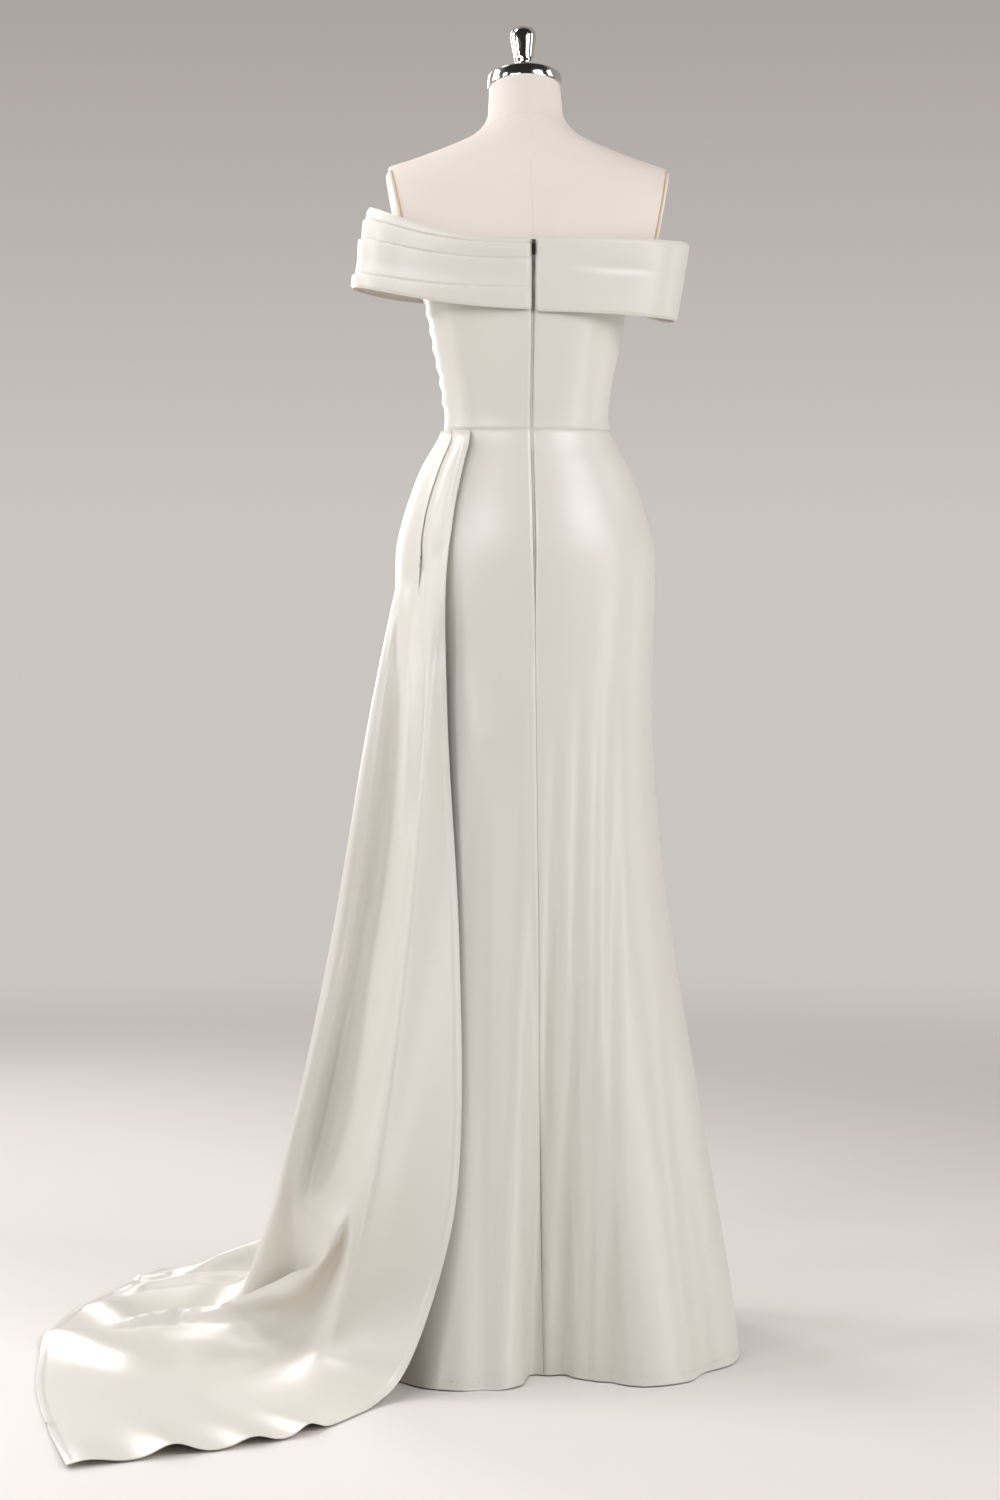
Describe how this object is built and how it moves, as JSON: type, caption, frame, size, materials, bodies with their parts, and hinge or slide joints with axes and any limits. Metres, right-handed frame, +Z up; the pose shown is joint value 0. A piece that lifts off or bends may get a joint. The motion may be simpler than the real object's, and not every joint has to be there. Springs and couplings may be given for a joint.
{
  "type": "sheath dress on a dress form",
  "caption": "Off-the-shoulder satin sheath gown with a side overskirt and floor train, standing on a limbless dress form with a round base.",
  "frame": {"origin": "on the floor, in the middle of the underside of the stand's base", "axes": "+Z up; the gown's front faces -Y and its back +Y; its left side, with the train, is +X"},
  "size_m": [0.9122, 1.1621, 1.7332],
  "materials": {
    "satin": "ivory satin with a soft sheen",
    "form_cover": "matt cream woven cover",
    "plate_rim": "tan edging on a cream plate",
    "chrome": "polished",
    "stand_paint": "satin off-white paint",
    "zip_cloth": "matt woven tape"
  },
  "bodies": {
    "dressed_form": {"form_body": "form_cover", "form_arm_plate_left": "plate_rim", "form_arm_plate_right": "plate_rim", "form_neck_cap": "chrome", "form_finial": "chrome", "stand_pole": "chrome", "stand_base": "stand_paint", "bodice_front": "satin", "bodice_back_left": "satin", "bodice_back_right": "satin", "band_pleated": "satin", "band_smooth": "satin", "skirt_front": "satin", "skirt_back_left": "satin", "skirt_back_right": "satin", "overskirt": "satin", "zip_tape": "zip_cloth", "zip_slider": "chrome"},
    "pull_tab": {"zip_pull": "chrome"}
  },
  "joints": [
    {"name": "pull_tab_swing", "type": "hinge", "parent": "dressed_form", "child": "pull_tab", "pos_m": [0, 0.1073, 1.439], "axis": [1, 0, 0], "range_deg": [0, 170]}
  ]
}
